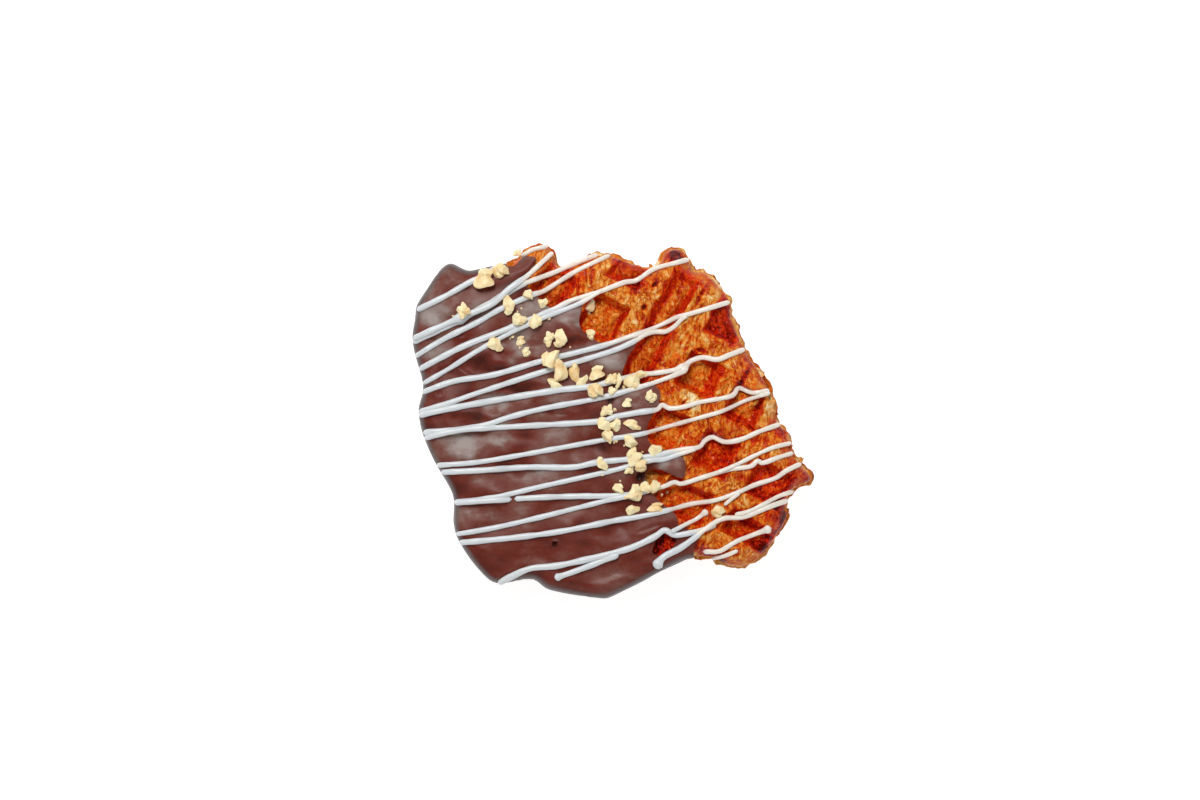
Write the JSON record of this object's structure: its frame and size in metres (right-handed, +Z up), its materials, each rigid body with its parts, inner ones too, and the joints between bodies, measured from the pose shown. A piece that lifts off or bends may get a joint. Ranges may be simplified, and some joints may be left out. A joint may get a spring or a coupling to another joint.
{
  "type": "croffle dipped in chocolate",
  "caption": "Croissant dough pressed in a waffle iron, one side dipped in dark chocolate, with thin white chocolate lines and chopped nuts on top.",
  "frame": {"origin": "under the middle of the croffle, on the table it lies on", "axes": "+Z up from the table; +X from the dipped side to the bare side, along the longest extent; +Y to the far edge as the picture shows it"},
  "size_m": [0.1194, 0.1058, 0.0241],
  "materials": {
    "baked_pastry": "baked, flaky and caramelised, with a thin sugar gloss",
    "dark_chocolate": "set chocolate, smooth with a soft sheen",
    "white_chocolate": "set white chocolate, satin",
    "chopped_nut": "dry broken faces"
  },
  "bodies": {
    "root": {"pastry": "baked_pastry", "chocolate_coat": "dark_chocolate"}
  },
  "joints": []
}
